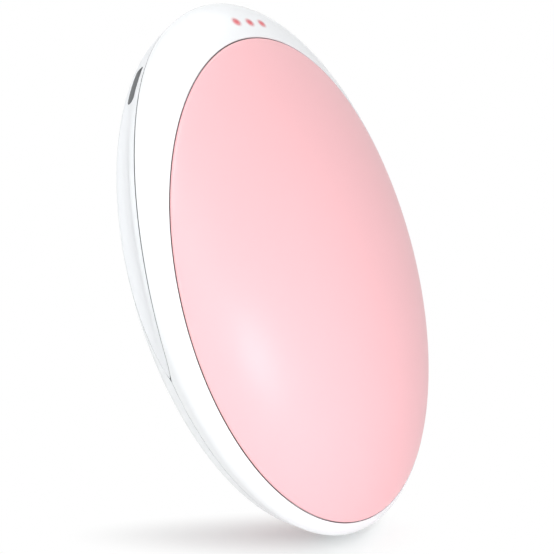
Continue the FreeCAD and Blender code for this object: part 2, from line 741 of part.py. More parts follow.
# Battery: two pouch cells, the strips between them and their guard board.
def cell(side):
    word = SIDE_NAMES[side]
    body = doc.addObject("PartDesign::Body", word + "_cell")
    sketch = body.newObject("Sketcher::SketchObject", word + "_cell_sketch")
    plane = next(part for part in body.Origin.OriginFeatures if part.Role == "XZ_Plane")
    sketch.AttachmentSupport = [(plane, "")]
    sketch.MapMode = "FlatFace"
    corners = (Vector(-1, -1), Vector(1, -1), Vector(1, 1), Vector(-1, 1))
    first, last = 1, 2
    ends = zip(corners, corners[1:] + corners[:1])
    sides = [sketch.addGeometry(Part.LineSegment(start, end)) for start, end in ends]
    for one, other in zip(sides, sides[1:] + sides[:1]):
        sketch.addConstraint(Sketcher.Constraint("Coincident", one, last, other, first))
    for one, way in zip(sides, ("Horizontal", "Vertical", "Horizontal", "Vertical")):
        sketch.addConstraint(Sketcher.Constraint(way, one))
    sketch.addConstraint(Sketcher.Constraint("Symmetric", sides[0], first, sides[2], first, -1, first))
    broad = sketch.addConstraint(Sketcher.Constraint("DistanceX", sides[0], first, sides[0], last, 2))
    tall = sketch.addConstraint(Sketcher.Constraint("DistanceY", sides[1], first, sides[1], last, 2))
    sketch.setExpression(f"Constraints[{broad}]", formula(cell_width))
    sketch.setExpression(f"Constraints[{tall}]", formula(cell_length))
    pad = body.newObject("PartDesign::Pad", word + "_cell_pad")
    pad.Profile = sketch
    pad.setExpression("Length", formula("cell_thickness"))
    pad.Midplane = True
    doc.recompute()
    upright = [f"Edge{number}" for number, edge in enumerate(pad.Shape.Edges, 1)
               if abs(edge.tangentAt(edge.FirstParameter).y) > 0.5]
    rounded = body.newObject("PartDesign::Fillet", word + "_cell_corners")
    rounded.Base = (pad, upright)
    rounded.setExpression("Radius", formula("cell_corner"))
    body.Tip = rounded
    at(body, y=f"{side} * (cell_gap + cell_thickness) / 2", z=f"{cell_head} - {cell_length} / 2")
    keep(f"battery_cell_{word}", body)


for side in (FRONT, REAR):
    cell(side)

tabs = []
for hand in (LEFT, RIGHT):
    for side in (FRONT, REAR):
        start = "-guard_thickness / 2 - tab_thickness" if side == FRONT else "guard_thickness / 2"
        tabs.append(block(f"{HAND_NAMES[hand]}_{SIDE_NAMES[side]}_tab",
                          (f"{hand} * tab_spacing_share * {cell_width} / 2 - tab_width / 2", "tab_width"),
                          (start, "tab_thickness"), (cell_head, "tab_length")))
keep("battery_tabs", group("tab_set", tabs))
keep("battery_protection_board", block("guard", (f"-{guard_length} / 2", guard_length),
                                       ("-guard_thickness / 2", "guard_thickness"),
                                       (f"{cell_head} + guard_lift", "guard_width")))


# Leads: round wires whose runs are joined by arcs.
def lead_path(points):
    edges = []
    start = points[0]
    for before, corner, after in zip(points, points[1:], points[2:]):
        into = (corner - before).normalize()
        out = (after - corner).normalize()
        half_turn = into.getAngle(out) / 2
        reach = LEAD_BEND_SHARE * min(corner.distanceToPoint(before), corner.distanceToPoint(after))
        radius = reach / math.tan(half_turn)
        inward = (out - into).normalize()
        middle = corner + inward * (radius / math.cos(half_turn) - radius)
        edges.append(Part.LineSegment(start, corner - into * reach).toShape())
        start = corner + out * reach
        edges.append(Part.Arc(corner - into * reach, middle, start).toShape())
    edges.append(Part.LineSegment(start, points[-1]).toShape())
    return Part.Wire(edges)


def lead_pair(node, x, route):
    """Two wires side by side along the same route, given by its y and z."""
    tubes = []
    for hand in (LEFT, RIGHT):
        offset = x + hand * size("lead_pitch") / 2
        points = [Vector(offset, y, z) for y, z in route]
        path = lead_path(points)
        ring = Part.Circle(points[0], points[1] - points[0], size("lead_diameter") / 2).toShape()
        tube = path.makePipeShell([Part.Wire([ring])], True, False)
        section = math.pi * size("lead_diameter") ** 2 / 4
        print(node, "tube volume over section times length:", round(tube.Volume / (section * path.Length), 4))
        tubes.append(tube)
    keep(node, solid(node + "_tubes", Part.makeCompound(tubes)))


def plug_foot(shares):
    """Where leads enter a connector: the middle of the face towards the battery, as y and z."""
    return (board_face_size - size("plug_height") / 2, shares[1] * half_length - size("plug_width") / 2)


def leads():
    head = size("cell_head_share") * half_length
    guard_top = head + size("guard_lift") + size("guard_width")
    foot = plug_foot(BATTERY_PLUG_SHARES)
    bow = size("lead_bow")
    battery_route = [(0.0, guard_top), (0.0, guard_top + bow), (foot[0] - bow, (guard_top + foot[1]) / 2),
                     (foot[0], foot[1] - bow), foot]
    lead_pair("battery_leads", BATTERY_PLUG_SHARES[0] * half_width, battery_route)

    between = (guard_top + head + size("frame_window_gap")) / 2
    reach = abs(FRONT_PLUG_SHARES[0]) * half_width + size("lead_pitch")
    start = between + size("lead_drop")
    height = dome_height(heater_back_size + size("bond_gap"), reach, start) - size("lead_diameter")
    turn = height - size("lead_drop")
    foot = plug_foot(FRONT_PLUG_SHARES)
    front_route = [(-height, start), (-turn, between), (foot[0], between), foot]
    lead_pair("front_heater_leads", FRONT_PLUG_SHARES[0] * half_width, front_route)
    foot = plug_foot(REAR_PLUG_SHARES)
    rear_route = [(height, start), (turn, between), (foot[0], between), foot]
    lead_pair("rear_heater_leads", REAR_PLUG_SHARES[0] * half_width, rear_route)


leads()

doc.recompute()
for made in doc.Objects:
    if "Invalid" in made.State or "Error" in made.State:
        raise RuntimeError(f"{made.Name} failed: {made.State}")
for node, made in parts.items():
    if made.Shape.isNull() or not made.Shape.isValid():
        raise RuntimeError(f"{node} has no valid shape")
os.makedirs("parts", exist_ok=True)
for node, made in parts.items():
    made.Shape.exportStep(f"parts/{node}.step")
    print(f"{node}: {len(made.Shape.Solids)} solid(s), {made.Shape.Volume:.1f} mm3")
print(len(parts), "pieces")
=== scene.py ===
# %% [markdown]
# # A rechargeable hand warmer
# The object is a palm-sized pebble: two white gloss shells, a pink domed heating panel let into each
# of them, a spindle-shaped strip along each side, a charging slot, a power button and three red
# lamps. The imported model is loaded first. Its solids fix every size and place, and this lesson
# dresses them.

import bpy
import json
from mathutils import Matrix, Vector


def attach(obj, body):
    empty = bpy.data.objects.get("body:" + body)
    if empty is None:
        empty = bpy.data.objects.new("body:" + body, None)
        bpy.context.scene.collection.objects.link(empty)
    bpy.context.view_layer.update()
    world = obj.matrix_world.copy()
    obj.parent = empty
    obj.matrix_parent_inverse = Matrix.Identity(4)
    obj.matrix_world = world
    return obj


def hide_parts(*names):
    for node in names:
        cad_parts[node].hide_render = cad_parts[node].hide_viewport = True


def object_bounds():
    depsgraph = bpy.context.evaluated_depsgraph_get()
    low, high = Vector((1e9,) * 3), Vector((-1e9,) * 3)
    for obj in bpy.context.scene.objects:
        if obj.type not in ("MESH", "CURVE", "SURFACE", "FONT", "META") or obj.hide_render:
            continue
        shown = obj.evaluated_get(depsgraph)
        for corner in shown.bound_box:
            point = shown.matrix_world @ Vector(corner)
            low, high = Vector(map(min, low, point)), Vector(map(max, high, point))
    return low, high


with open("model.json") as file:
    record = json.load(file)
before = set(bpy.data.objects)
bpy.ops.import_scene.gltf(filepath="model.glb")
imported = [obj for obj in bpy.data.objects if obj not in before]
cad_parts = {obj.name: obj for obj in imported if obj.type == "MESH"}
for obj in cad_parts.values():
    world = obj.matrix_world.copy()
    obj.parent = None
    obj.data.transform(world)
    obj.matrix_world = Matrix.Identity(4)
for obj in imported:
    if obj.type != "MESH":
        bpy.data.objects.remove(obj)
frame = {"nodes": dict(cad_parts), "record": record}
cad_box = [list(corner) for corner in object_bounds()]

# %% [markdown]
# ## Sizes
# The pebble is two half ellipsoids on a short straight band, and both casing halves, both panels and
# both strips lie on that one surface. It is written down once, with the length along Z, the width
# along X and the front face towards -Y. A millimetre is named, because Blender counts in metres.

# %% Sizes of the pebble and its panels
import json
import math

import bpy
from mathutils import Matrix, Vector

MM = 0.001
HALF_WIDTH = 35.0 * MM
HALF_LENGTH = 55.0 * MM
CROWN = 12.2 * MM
HALF_BAND = 2.0 * MM
PANEL_HALF_WIDTH = 32.35 * MM
PANEL_HALF_LENGTH = 48.45 * MM
PANEL_DROP = 2.7 * MM
FRONT, REAR = -1, 1
LEFT, RIGHT = -1, 1


def dome_height(x, z, inset=0.0):
    """Distance of the pebble's face from the parting plane, over a point of that plane."""
    across = x / (HALF_WIDTH - inset)
    along = z / (HALF_LENGTH - inset)
    return HALF_BAND + (CROWN - inset) * math.sqrt(max(0.0, 1 - across ** 2 - along ** 2))


def side_reach(y, z):
    """Distance of the pebble's side from the middle plane, at a height and off the parting plane."""
    off = max(0.0, abs(y) - HALF_BAND) / CROWN
    along = z / HALF_LENGTH
    return HALF_WIDTH * math.sqrt(max(0.0, 1 - off ** 2 - along ** 2))


print("the face stands", round(dome_height(0, 0) / MM, 1), "mm from the parting plane")

# %% [markdown]
# ## Camera
# The photograph looks at the front and the left side from close by, a little from above, with the
# camera rolled so that the object leans to the left. The focal length is given in pixels of the
# picture, and a small shift puts the object where the photograph has it.

# %% Camera
PICTURE_PIXELS = 554
FOCAL_PIXELS = 483.036
SHIFT_PIXELS = (24.8, 0.819)
CAMERA_AZIMUTH, CAMERA_ELEVATION, CAMERA_ROLL = map(math.radians, (43.05, 7.669, 17.562))
CAMERA_DISTANCE = 101.4 * MM
CAMERA_NEAR = 5.0 * MM
SENSOR = 36.0

towards = Vector((-math.sin(CAMERA_AZIMUTH) * math.cos(CAMERA_ELEVATION),
                  -math.cos(CAMERA_AZIMUTH) * math.cos(CAMERA_ELEVATION),
                  math.sin(CAMERA_ELEVATION)))
level = Vector((math.cos(CAMERA_AZIMUTH), -math.sin(CAMERA_AZIMUTH), 0))
upright = towards.cross(level)
picture_right = math.cos(CAMERA_ROLL) * level - math.sin(CAMERA_ROLL) * upright
picture_up = math.sin(CAMERA_ROLL) * level + math.cos(CAMERA_ROLL) * upright
bpy.ops.object.camera_add()
camera = bpy.context.object
camera.name = "picture_camera"
camera.matrix_world = Matrix.Translation(CAMERA_DISTANCE * towards) @ Matrix(
    (picture_right, picture_up, towards)).transposed().to_4x4()
camera.data.sensor_width = SENSOR
camera.data.lens = FOCAL_PIXELS / PICTURE_PIXELS * SENSOR
camera.data.shift_x = -SHIFT_PIXELS[0] / PICTURE_PIXELS
camera.data.shift_y = SHIFT_PIXELS[1] / PICTURE_PIXELS
camera.data.clip_start = CAMERA_NEAR
bpy.context.scene.camera = camera
bpy.context.scene.view_settings.view_transform = "Standard"
print("camera at", [round(value / MM, 1) for value in camera.location], "mm")

# %% [markdown]
# ## Materials
# Every finish is a node tree on Object coordinates, so it holds from all sides. The helpers below
# make the tree that all finishes share: a colour that wanders a little between two shades, a
# roughness that wanders with a finer grain, and a bump of that grain. What is the same all over the
# surface is set on the shader's own sockets.

# %% Helpers for node trees and finishes
PATCH_DETAIL, GRAIN_DETAIL = 3, 2
GRAIN_HEIGHT = 0.05 * MM


def add_node(tree, kind, inputs=None, **settings):
    """Adds a node. Each input gets a plain value, or the socket of another node to be linked to."""
    node = tree.nodes.new("ShaderNode" + kind)
    for setting, value in settings.items():
        setattr(node, setting, value)
    for socket, value in (inputs or {}).items():
        if isinstance(value, bpy.types.NodeSocket):
            tree.links.new(value, node.inputs[socket])
        else:
            node.inputs[socket].default_value = value
    return node


def reckon(tree, operation, *operands):
    """One sum in a node tree. An operand is a socket or a number."""
    return add_node(tree, "Math", dict(enumerate(operands)), operation=operation).outputs["Value"]


def finish(name, shades, rough, patch, grain, bump, sockets=None):
    """A wandering colour, a grained roughness and bump. Patch and grain are counts per metre."""
    material = bpy.data.materials.new(name)
    material.use_nodes = True
    tree = material.node_tree
    spot = add_node(tree, "TexCoord").outputs["Object"]
    patches, fine = (
        add_node(tree, "TexNoise", {"Vector": spot, "Scale": scale, "Detail": detail}).outputs["Fac"]
        for scale, detail in ((patch, PATCH_DETAIL), (grain, GRAIN_DETAIL)))
    colour = add_node(tree, "ValToRGB", {"Fac": patches})
    for element, shade in zip(colour.color_ramp.elements, shades):
        element.color = (*shade, 1)
    spread = add_node(tree, "MapRange", {"Value": fine, "To Min": rough[0], "To Max": rough[1]})
    relief = add_node(tree, "Bump", {"Height": fine, "Strength": bump, "Distance": GRAIN_HEIGHT})
    shader = tree.nodes["Principled BSDF"]
    tree.links.new(colour.outputs["Color"], shader.inputs["Base Color"])
    tree.links.new(spread.outputs["Result"], shader.inputs["Roughness"])
    tree.links.new(relief.outputs["Normal"], shader.inputs["Normal"])
    for socket, value in (sockets or {}).items():
        shader.inputs[socket].default_value = value
    return material


def finishes(table):
    """The finishes of a table, by name."""
    return {name: finish(name, *row) for name, row in table.items()}


# %% [markdown]
# The casing is a hard white gloss plastic with the faintest blue, the strips are the same plastic
# with a satin skin, and the panels are metal with a pink satin paint whose fine grain breaks the
# highlight up. The front half has a white of its own, because the lamps' glow is painted into it as a
# red tint. A grey of painted shade lines the faces that lie inside the seams and the slot, so the
# joints read as dark lines.

# %% Finishes of the outside
WHITE_SHADES = ((0.905, 0.92, 0.935), (0.93, 0.94, 0.95))
SOFT_GLOSS = {"Specular IOR Level": 0.3}
SATIN = {"Specular IOR Level": 0.2}

# two shades, range of the roughness, patches and grains per metre, bump, other sockets
outer = finishes({
    "casing_white": (WHITE_SHADES, (0.22, 0.26), 25, 3000, 0.003, SOFT_GLOSS),
    "casing_front": (WHITE_SHADES, (0.22, 0.26), 25, 3000, 0.003, SOFT_GLOSS),
    "panel_pink": (((0.95, 0.530, 0.558), (0.97, 0.545, 0.573)), (0.34, 0.38), 18, 4000, 0.03),
    "strip_pale": (((0.89, 0.905, 0.925), (0.905, 0.92, 0.935)), (0.40, 0.44), 30, 4000, 0.01, SATIN),
    "button_white": (((0.88, 0.90, 0.915), (0.90, 0.915, 0.93)), (0.23, 0.26), 60, 4000, 0.01),
    # painted shade: a grey for the faces inside the seams, round the panels and in the slot
    "seam_painted_shade": (((0.29, 0.30, 0.31), (0.33, 0.34, 0.35)), (0.5, 0.6), 200, 3000, 0.05),
})
print("outside finishes:", sorted(outer))

# %% [markdown]
# ## Working by hand, in code
# Each piece starts as one of Blender's primitives. The helpers below deselect everything, add the
# primitive, and slide its points to their place on the real form. A torus, for example, is already a
# closed ring-shaped skin, so it becomes a casing half when every ring of its points is slid to one
# line of the casing's section.

# %% Helpers for pieces
MERGE_REACH = 0.002 * MM
SHARP_ANGLE = math.radians(35)
BEVEL_ANGLE = math.radians(50)
replaced = set()


def clear_selection():
    """Leaves edit mode and deselects everything."""
    if bpy.context.object and bpy.context.object.mode != "OBJECT":
        bpy.ops.object.mode_set(mode="OBJECT")
    bpy.ops.object.select_all(action="DESELECT")


def only(piece):
    """Makes the piece the one that operators work on."""
    clear_selection()
    piece.select_set(True)
    bpy.context.view_layer.objects.active = piece


def started(name):
    """Names the primitive that an operator has just added, and puts its place into its mesh."""
    piece = bpy.context.object
    piece.name = name
    piece.data.name = name
    bpy.ops.object.transform_apply(location=True, rotation=True, scale=True)
    return piece


def slide_points(piece, place):
    """Moves each point of a mesh to where the place function puts it."""
    for point in piece.data.vertices:
        point.co = place(point.co)


def weld(piece, face_out=True):
    """Merges doubled points and, where that is wanted, turns all faces outwards."""
    only(piece)
    bpy.ops.object.mode_set(mode="EDIT")
    bpy.ops.mesh.select_all(action="SELECT")
    bpy.ops.mesh.remove_doubles(threshold=MERGE_REACH)
    if face_out:
        bpy.ops.mesh.normals_make_consistent(inside=False)
    bpy.ops.object.mode_set(mode="OBJECT")


def tidy_skin(piece):
    """Welds the mesh and shades it smooth between sharp edges."""
    weld(piece)
    bpy.ops.object.shade_smooth_by_angle(angle=SHARP_ANGLE)


def apply_modifier(piece, kind, **settings):
    """Adds a modifier with its settings and makes its result the mesh."""
    only(piece)
    modifier = piece.modifiers.new(kind.lower(), kind)
    for setting, value in settings.items():
        setattr(modifier, setting, value)
    bpy.ops.object.modifier_apply(modifier=modifier.name)


def round_edges(piece, width, segments):
    """Bevels the sharp edges of a piece."""
    apply_modifier(piece, "BEVEL", width=width, segments=segments, limit_method="ANGLE",
                   angle_limit=BEVEL_ANGLE)


def combine(piece, operation, *tools):
    """Takes each tool out of the piece or joins it to the piece, and removes the tool."""
    for tool in tools:
        apply_modifier(piece, "BOOLEAN", object=tool, operation=operation, solver="EXACT")
        bpy.data.objects.remove(tool)


def done(piece, body, nodes, material):
    """Hands a finished piece over to the frame."""
    piece.data.materials.clear()
    piece.data.materials.append(material)
    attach(piece, body)
    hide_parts(*nodes)
    replaced.update(nodes)
    print(piece.name, "has", len(piece.data.polygons), "faces")


# %% [markdown]
# ## Casing halves
# Each half is a ring: outside it follows the pebble from the panel's seat down to the parting line,
# inside it follows the same pebble a wall deeper, and a ledge carries the panel. It could be cut from
# a sphere, but cuts leave ragged faces that show in gloss. A torus has rings in both directions, so
# its rings are slid to the lines of that section instead. Along each side the parting edge rises to
# make room for the strip. Elsewhere the halves touch inside and lean apart to a shallow V line.

# %% The spindle outline of the side strips
STRIP_HALF_LENGTH = 0.533 * HALF_LENGTH
STRIP_HALF_WIDTH = 3.55 * MM
STRIP_RISE = 0.42 * HALF_LENGTH
STRIP_TIP_SHARE = 0.12


def spindle(z, gap=0.0):
    """Half the strip's width at a height, zero beyond its tips."""
    half_width = STRIP_HALF_WIDTH / (1 - STRIP_TIP_SHARE) - gap
    half_length = STRIP_HALF_LENGTH / math.sqrt(1 - STRIP_TIP_SHARE ** 2) - gap
    off = STRIP_HALF_WIDTH / (1 - STRIP_TIP_SHARE) * STRIP_TIP_SHARE
    along = (z - STRIP_RISE) / half_length
    return max(0.0, half_width * math.sqrt(max(0.0, 1 - along ** 2)) - off)


TIP_TURNS = []
for tip in (STRIP_RISE - STRIP_HALF_LENGTH, STRIP_RISE + STRIP_HALF_LENGTH):
    lean = math.asin(tip / HALF_LENGTH)
    TIP_TURNS += [lean % math.tau, (math.pi - lean) % math.tau]
print("strip tips at turns of", [round(math.degrees(turn), 1) for turn in TIP_TURNS], "degrees")

# %% One column of the casing's section
WALL = 2.2 * MM
SEAT_DEPTH = 1.3 * MM
SEAT_GAP = 0.16 * MM
LEDGE = 5.0 * MM
EDGE_ROUND = 0.22 * MM
PARTING_ROUND = 0.05 * MM
PARTING_GAP = 0.05 * MM
ROUND_SHARES = ((0.0, 1.0), (0.08, 0.62), (0.29, 0.29), (0.62, 0.08), (1.0, 0.0))
OUTER_STEPS, INNER_STEPS, LEDGE_STEPS = 40, 14, 4
EDGE_TRIES = 5


def panel_line(turn, grow):
    """The panel's outline, grown or shrunk, where a line from the pebble's middle meets it."""
    half_x, half_z = PANEL_HALF_WIDTH + grow, PANEL_HALF_LENGTH + grow
    go_x, go_z = HALF_WIDTH * math.cos(turn), HALF_LENGTH * math.sin(turn)
    square = (go_x / half_x) ** 2 + (go_z / half_z) ** 2
    mixed = go_z * PANEL_DROP / half_z ** 2
    rest = (PANEL_DROP / half_z) ** 2 - 1
    reach = (-mixed + math.sqrt(mixed ** 2 - square * rest)) / square
    return Vector((go_x * reach, go_z * reach))


def side_point(turn, height, inset=0.0):
    """A point on the pebble's side, at a distance from the parting plane."""
    lean = max(0.0, height - HALF_BAND) / (CROWN - inset)
    spread = math.sqrt(1 - lean ** 2)
    return ((HALF_WIDTH - inset) * spread * math.cos(turn), height,
            (HALF_LENGTH - inset) * spread * math.sin(turn))


def parting_edge(turn):
    """Height of the casing's edge over the parting plane: zero, or the outline of a strip."""
    edge = 0.0
    for _ in range(EDGE_TRIES):
        edge = spindle(side_point(turn, edge)[2])
    return edge


def skin_run(turn, start, inset, steps, last_height):
    """Points on the pebble from a point of its face down to a height near the parting plane."""
    half_x, half_z, crown = HALF_WIDTH - inset, HALF_LENGTH - inset, CROWN - inset
    first = math.asin(min(1.0, math.hypot(start[0] / half_x, start[1] / half_z)))
    last = math.pi / 2 - math.asin(max(0.0, last_height - HALF_BAND) / crown)
    arc = (last - first) * crown * (1 + math.cos(first))
    straight = max(0.0, HALF_BAND - last_height)
    points = []
    for step in range(steps + 1):
        gone = step / steps * (arc + straight)
        tilt = first + (last - first) * min(1.0, gone / arc)
        height = HALF_BAND + crown * math.cos(tilt) - max(0.0, gone - arc)
        spread = math.sin(tilt)
        points.append((half_x * spread * math.cos(turn), height, half_z * spread * math.sin(turn)))
    return points


def casing_column(turn):
    """The closed section of a casing half at a turn: x, distance from the parting plane and z."""
    seat = panel_line(turn, SEAT_GAP)
    window = panel_line(turn, -LEDGE)
    outward = (seat - window).normalized()
    column = []
    for out, deep in ROUND_SHARES[:-1]:
        x, z = seat + outward * out * EDGE_ROUND
        column.append((x, dome_height(x, z) - deep * EDGE_ROUND, z))
    edge = max(PARTING_GAP, parting_edge(turn))
    column += skin_run(turn, seat + outward * EDGE_ROUND, 0.0, OUTER_STEPS, edge + PARTING_ROUND)
    column += [side_point(turn, edge + up * PARTING_ROUND, deep * PARTING_ROUND)
               for deep, up in ROUND_SHARES[1:]]
    inner_edge = edge if edge > PARTING_GAP else 0.0
    column += skin_run(turn, window, WALL, INNER_STEPS, inner_edge)[::-1]
    for step in range(LEDGE_STEPS + 1):
        x, z = window.lerp(seat, step / LEDGE_STEPS)
        column.append((x, dome_height(x, z, SEAT_DEPTH), z))
    return column


SECTION_POINTS = len(casing_column(0.0))
print("a casing half has", SECTION_POINTS, "points round its section")

# %% Two casing halves from two rings
COLUMNS = 512
RING_RADIUS, TUBE_RADIUS = 2.0, 1.0
COLUMN_TURN = math.tau / COLUMNS
SNAP_REACH = 6 * COLUMN_TURN


def snapped(turn):
    """The turn of a column, moved a little near a strip's tip so that one column ends in the tip."""
    for tip_turn in TIP_TURNS:
        nearest = round(tip_turn / COLUMN_TURN) * COLUMN_TURN
        away = abs((turn - nearest + math.pi) % math.tau - math.pi)
        turn += (tip_turn - nearest) * max(0.0, 1 - away / SNAP_REACH)
    return turn


def casing_half(name, side):
    """A torus whose rings are slid to the columns of the casing's section."""
    clear_selection()
    bpy.ops.mesh.primitive_torus_add(major_segments=COLUMNS, minor_segments=SECTION_POINTS,
                                     major_radius=RING_RADIUS, minor_radius=TUBE_RADIUS)
    piece = started(name)
    columns = {}

    def place(point):
        column = round(math.atan2(point.y, point.x) / COLUMN_TURN) % COLUMNS
        row_turn = math.atan2(point.z, math.hypot(point.x, point.y) - RING_RADIUS)
        row = round(row_turn / math.tau * SECTION_POINTS) % SECTION_POINTS
        if column not in columns:
            columns[column] = casing_column(snapped(column * COLUMN_TURN))
        x, height, z = columns[column][row]
        return Vector((x, side * height, z))

    slide_points(piece, place)
    tidy_skin(piece)
    return piece


front_casing = casing_half("front_casing", FRONT)
rear_casing = casing_half("rear_casing", REAR)

# %% Lamp holes in the front half
LAMP_RISE = 0.894 * HALF_LENGTH
LAMP_PITCH = 3.15 * MM
LAMP_HOLE = 1.25 * MM
LAMP_HOLE_SIDES = 48
lamp_places = [(step * LAMP_PITCH, LAMP_RISE) for step in (-1, 0, 1)]
for x, z in lamp_places:
    clear_selection()
    bpy.ops.mesh.primitive_cylinder_add(
        vertices=LAMP_HOLE_SIDES, radius=LAMP_HOLE / 2, depth=2 * CROWN,
        location=(x, -CROWN, z), rotation=(math.pi / 2, 0, 0))
    combine(front_casing, "DIFFERENCE", started("lamp_drill"))
tidy_skin(front_casing)

# %% [markdown]
# The lit lamps shine through the white plastic round their holes, and this glow is painted: the
# casing's colour turns red near each hole, by the distance from the hole's axis, and is plain white
# again a lamp's width away. The lamps' own tips will fade in the same way and glow faintly, so each
# lamp reads as one soft spot.

# %% Red light painted into the plastic
GLOW_CORE, GLOW_REACH = 0.2 * MM, 1.25 * MM
CASING_PAINTED_GLOW = (0.74, 0.17, 0.20, 1)
ALONG_FACE = (1, 0, 1)
MIX_FACTOR, MIX_FIRST, MIX_SECOND, MIX_RESULT = 0, 6, 7, 2


def paint_lamp_glow(material, places, tint):
    """Paints the lamps' glow: tints a finish red near the axes of the lamps."""
    tree = material.node_tree
    base = tree.nodes["Principled BSDF"].inputs["Base Color"]
    plain = base.links[0].from_socket
    spot = tree.nodes["Texture Coordinate"].outputs["Object"]
    flat = add_node(tree, "VectorMath", {0: spot, 1: ALONG_FACE}, operation="MULTIPLY")
    nearest = GLOW_REACH
    for x, z in places:
        far = add_node(tree, "VectorMath", {0: flat.outputs["Vector"], 1: (x, 0, z)},
                       operation="DISTANCE")
        nearest = reckon(tree, "MINIMUM", nearest, far.outputs["Value"])
    glow = add_node(tree, "MapRange", {"Value": nearest, "From Min": GLOW_REACH,
                                       "From Max": GLOW_CORE}, interpolation_type="SMOOTHSTEP")
    tinted = add_node(tree, "Mix", {MIX_FACTOR: glow.outputs["Result"], MIX_FIRST: plain,
                                    MIX_SECOND: tint}, data_type="RGBA")
    tree.links.new(tinted.outputs[MIX_RESULT], base)


# the lamps' glow, painted red into the front casing's white
paint_lamp_glow(outer["casing_front"], lamp_places, CASING_PAINTED_GLOW)
done(front_casing, "housing", ["front_shell"], outer["casing_front"])
done(rear_casing, "housing", ["rear_shell"], outer["casing_white"])

# %% Painted shade on the edges of the casing halves
RIM_SHARE = 0.965
WALL_TOP = 0.25 * MM
FACING = 0.6


def paint_edge_shade(piece, side):
    """Paints grey shade on the faces that look at the other half, and on the walls round the panel."""
    piece.data.materials.append(outer["seam_painted_shade"])
    shaded_faces = 0
    for face in piece.data.polygons:
        x, y, z = face.center
        normal = face.normal
        off = max(0.0, abs(y) - HALF_BAND)
        at_rim = math.hypot(x / HALF_WIDTH, off / CROWN, z / HALF_LENGTH) > RIM_SHARE
        parting = at_rim and normal.y * side < -FACING
        inward = normal.x * x / HALF_WIDTH ** 2 + normal.z * z / HALF_LENGTH ** 2 < 0
        in_seat = WALL_TOP < dome_height(x, z) - abs(y) < SEAT_DEPTH
        if parting or (inward and in_seat and abs(normal.y) < FACING):
            face.material_index = 1
            shaded_faces += 1
    print(piece.name, "has", shaded_faces, "grey faces along its edges")


paint_edge_shade(front_casing, FRONT)
paint_edge_shade(rear_casing, REAR)

# %% [markdown]
# ## Heating panels
# A panel is a thin dome with a rounded rim. A sphere has a middle, a widest ring and a second middle,
# just as the panel has an outer face, a rim and an underside, so a sphere's rings are slid to the
# panel's: most of them to the face, a few to the rounded rim, and the rest back along the underside.

# %% Two panels from two spheres
PANEL_THICKNESS = 1.0 * MM
PANEL_ROUND = 0.3 * MM
PANEL_TURNS = 256
FACE_RINGS, UNDER_RINGS = 80, 12
PANEL_RINGS = FACE_RINGS + len(ROUND_SHARES) + UNDER_RINGS


def panel_point(turn, ring):
    """A point of the panel: x, distance from the parting plane and z."""
    middle = Vector((0, -PANEL_DROP))
    rim = Vector((PANEL_HALF_WIDTH * math.cos(turn), PANEL_HALF_LENGTH * math.sin(turn)))
    inward = -rim.normalized()
    if ring <= FACE_RINGS:
        x, z = middle + (rim + inward * PANEL_ROUND) * (ring / FACE_RINGS)
        return x, dome_height(x, z), z
    if ring <= FACE_RINGS + len(ROUND_SHARES) - 1:
        deep, back = ROUND_SHARES[ring - FACE_RINGS]
        x, z = middle + rim + inward * back * PANEL_ROUND
        return x, dome_height(x, z) - deep * PANEL_ROUND, z
    x, z = middle + rim * ((PANEL_RINGS - ring) / (UNDER_RINGS + 1))
    return x, dome_height(x, z, PANEL_THICKNESS), z


def heating_panel(name, side):
    """A sphere whose rings are slid to those of the panel."""
    clear_selection()
    bpy.ops.mesh.primitive_uv_sphere_add(segments=PANEL_TURNS, ring_count=PANEL_RINGS, radius=1)
    piece = started(name)

    def place(point):
        ring = round(math.acos(max(-1.0, min(1.0, point.z))) / math.pi * PANEL_RINGS)
        x, height, z = panel_point(math.atan2(point.y, point.x), ring)
        return Vector((x, side * height, z))

    slide_points(piece, place)
    tidy_skin(piece)
    return piece


front_panel = heating_panel("front_heating_panel", FRONT)
done(front_panel, "housing", ["front_panel"], outer["panel_pink"])
rear_panel = heating_panel("rear_heating_panel", REAR)
done(rear_panel, "housing", ["rear_panel"], outer["panel_pink"])

# %% [markdown]
# ## Side strips
# A strip is a spindle-shaped plate that lies flush in the side. A flat grid is bent onto the pebble:
# its length runs from tip to tip, its width follows the spindle's outline. The left one has a soft
# hollow for the finger and the charging slot, the right one the hole for the button. A thickness and
# a fine bevel finish them, and a pocket behind the slot makes room for the port.

# %% Places on the sides
PORT_RISE_SHARE, BUTTON_RISE_SHARE = 0.7527, 0.4055
BLOCK_SIDES = 64


def side_frame(hand, rise_share):
    """A place on the side: local Z points out, local Y along the side, local X through the pebble."""
    x = hand * HALF_WIDTH * math.sqrt(1 - rise_share ** 2)
    z = rise_share * HALF_LENGTH
    out = Vector((x / HALF_WIDTH ** 2, 0, z / HALF_LENGTH ** 2)).normalized()
    along = Vector((-out.z, 0, out.x))
    through = along.cross(out)
    return Matrix.Translation((x, 0, z)) @ Matrix((through, along, out)).transposed().to_4x4()


PORT_FRAME = side_frame(LEFT, PORT_RISE_SHARE)
BUTTON_FRAME = side_frame(RIGHT, BUTTON_RISE_SHARE)


def stadium_block(name, place, length, width, low, high, corner=None):
    """A block with round ends, or round corners: a cylinder whose quarters are moved apart."""
    corner = corner or width / 2
    clear_selection()
    bpy.ops.mesh.primitive_cylinder_add(vertices=BLOCK_SIDES, radius=corner, depth=high - low,
                                        location=(0, 0, (low + high) / 2))
    piece = started(name)
    wide, long = width / 2 - corner, length / 2 - corner

    def moved_apart(point):
        return point + Vector((math.copysign(wide, point.x), math.copysign(long, point.y), 0))

    slide_points(piece, moved_apart)
    piece.data.transform(place)
    return piece


# %% The finger hollow
HOLLOW_RISE = 0.3636 * HALF_LENGTH
HOLLOW_DEPTH = 0.52 * MM
HOLLOW_HALF_LENGTH = 21.0 * MM
HOLLOW_HALF_WIDTH = 2.65 * MM
HOLLOW_SHIFT = 0.45 * MM
HOLLOW_SOFTNESS = 0.03 * MM


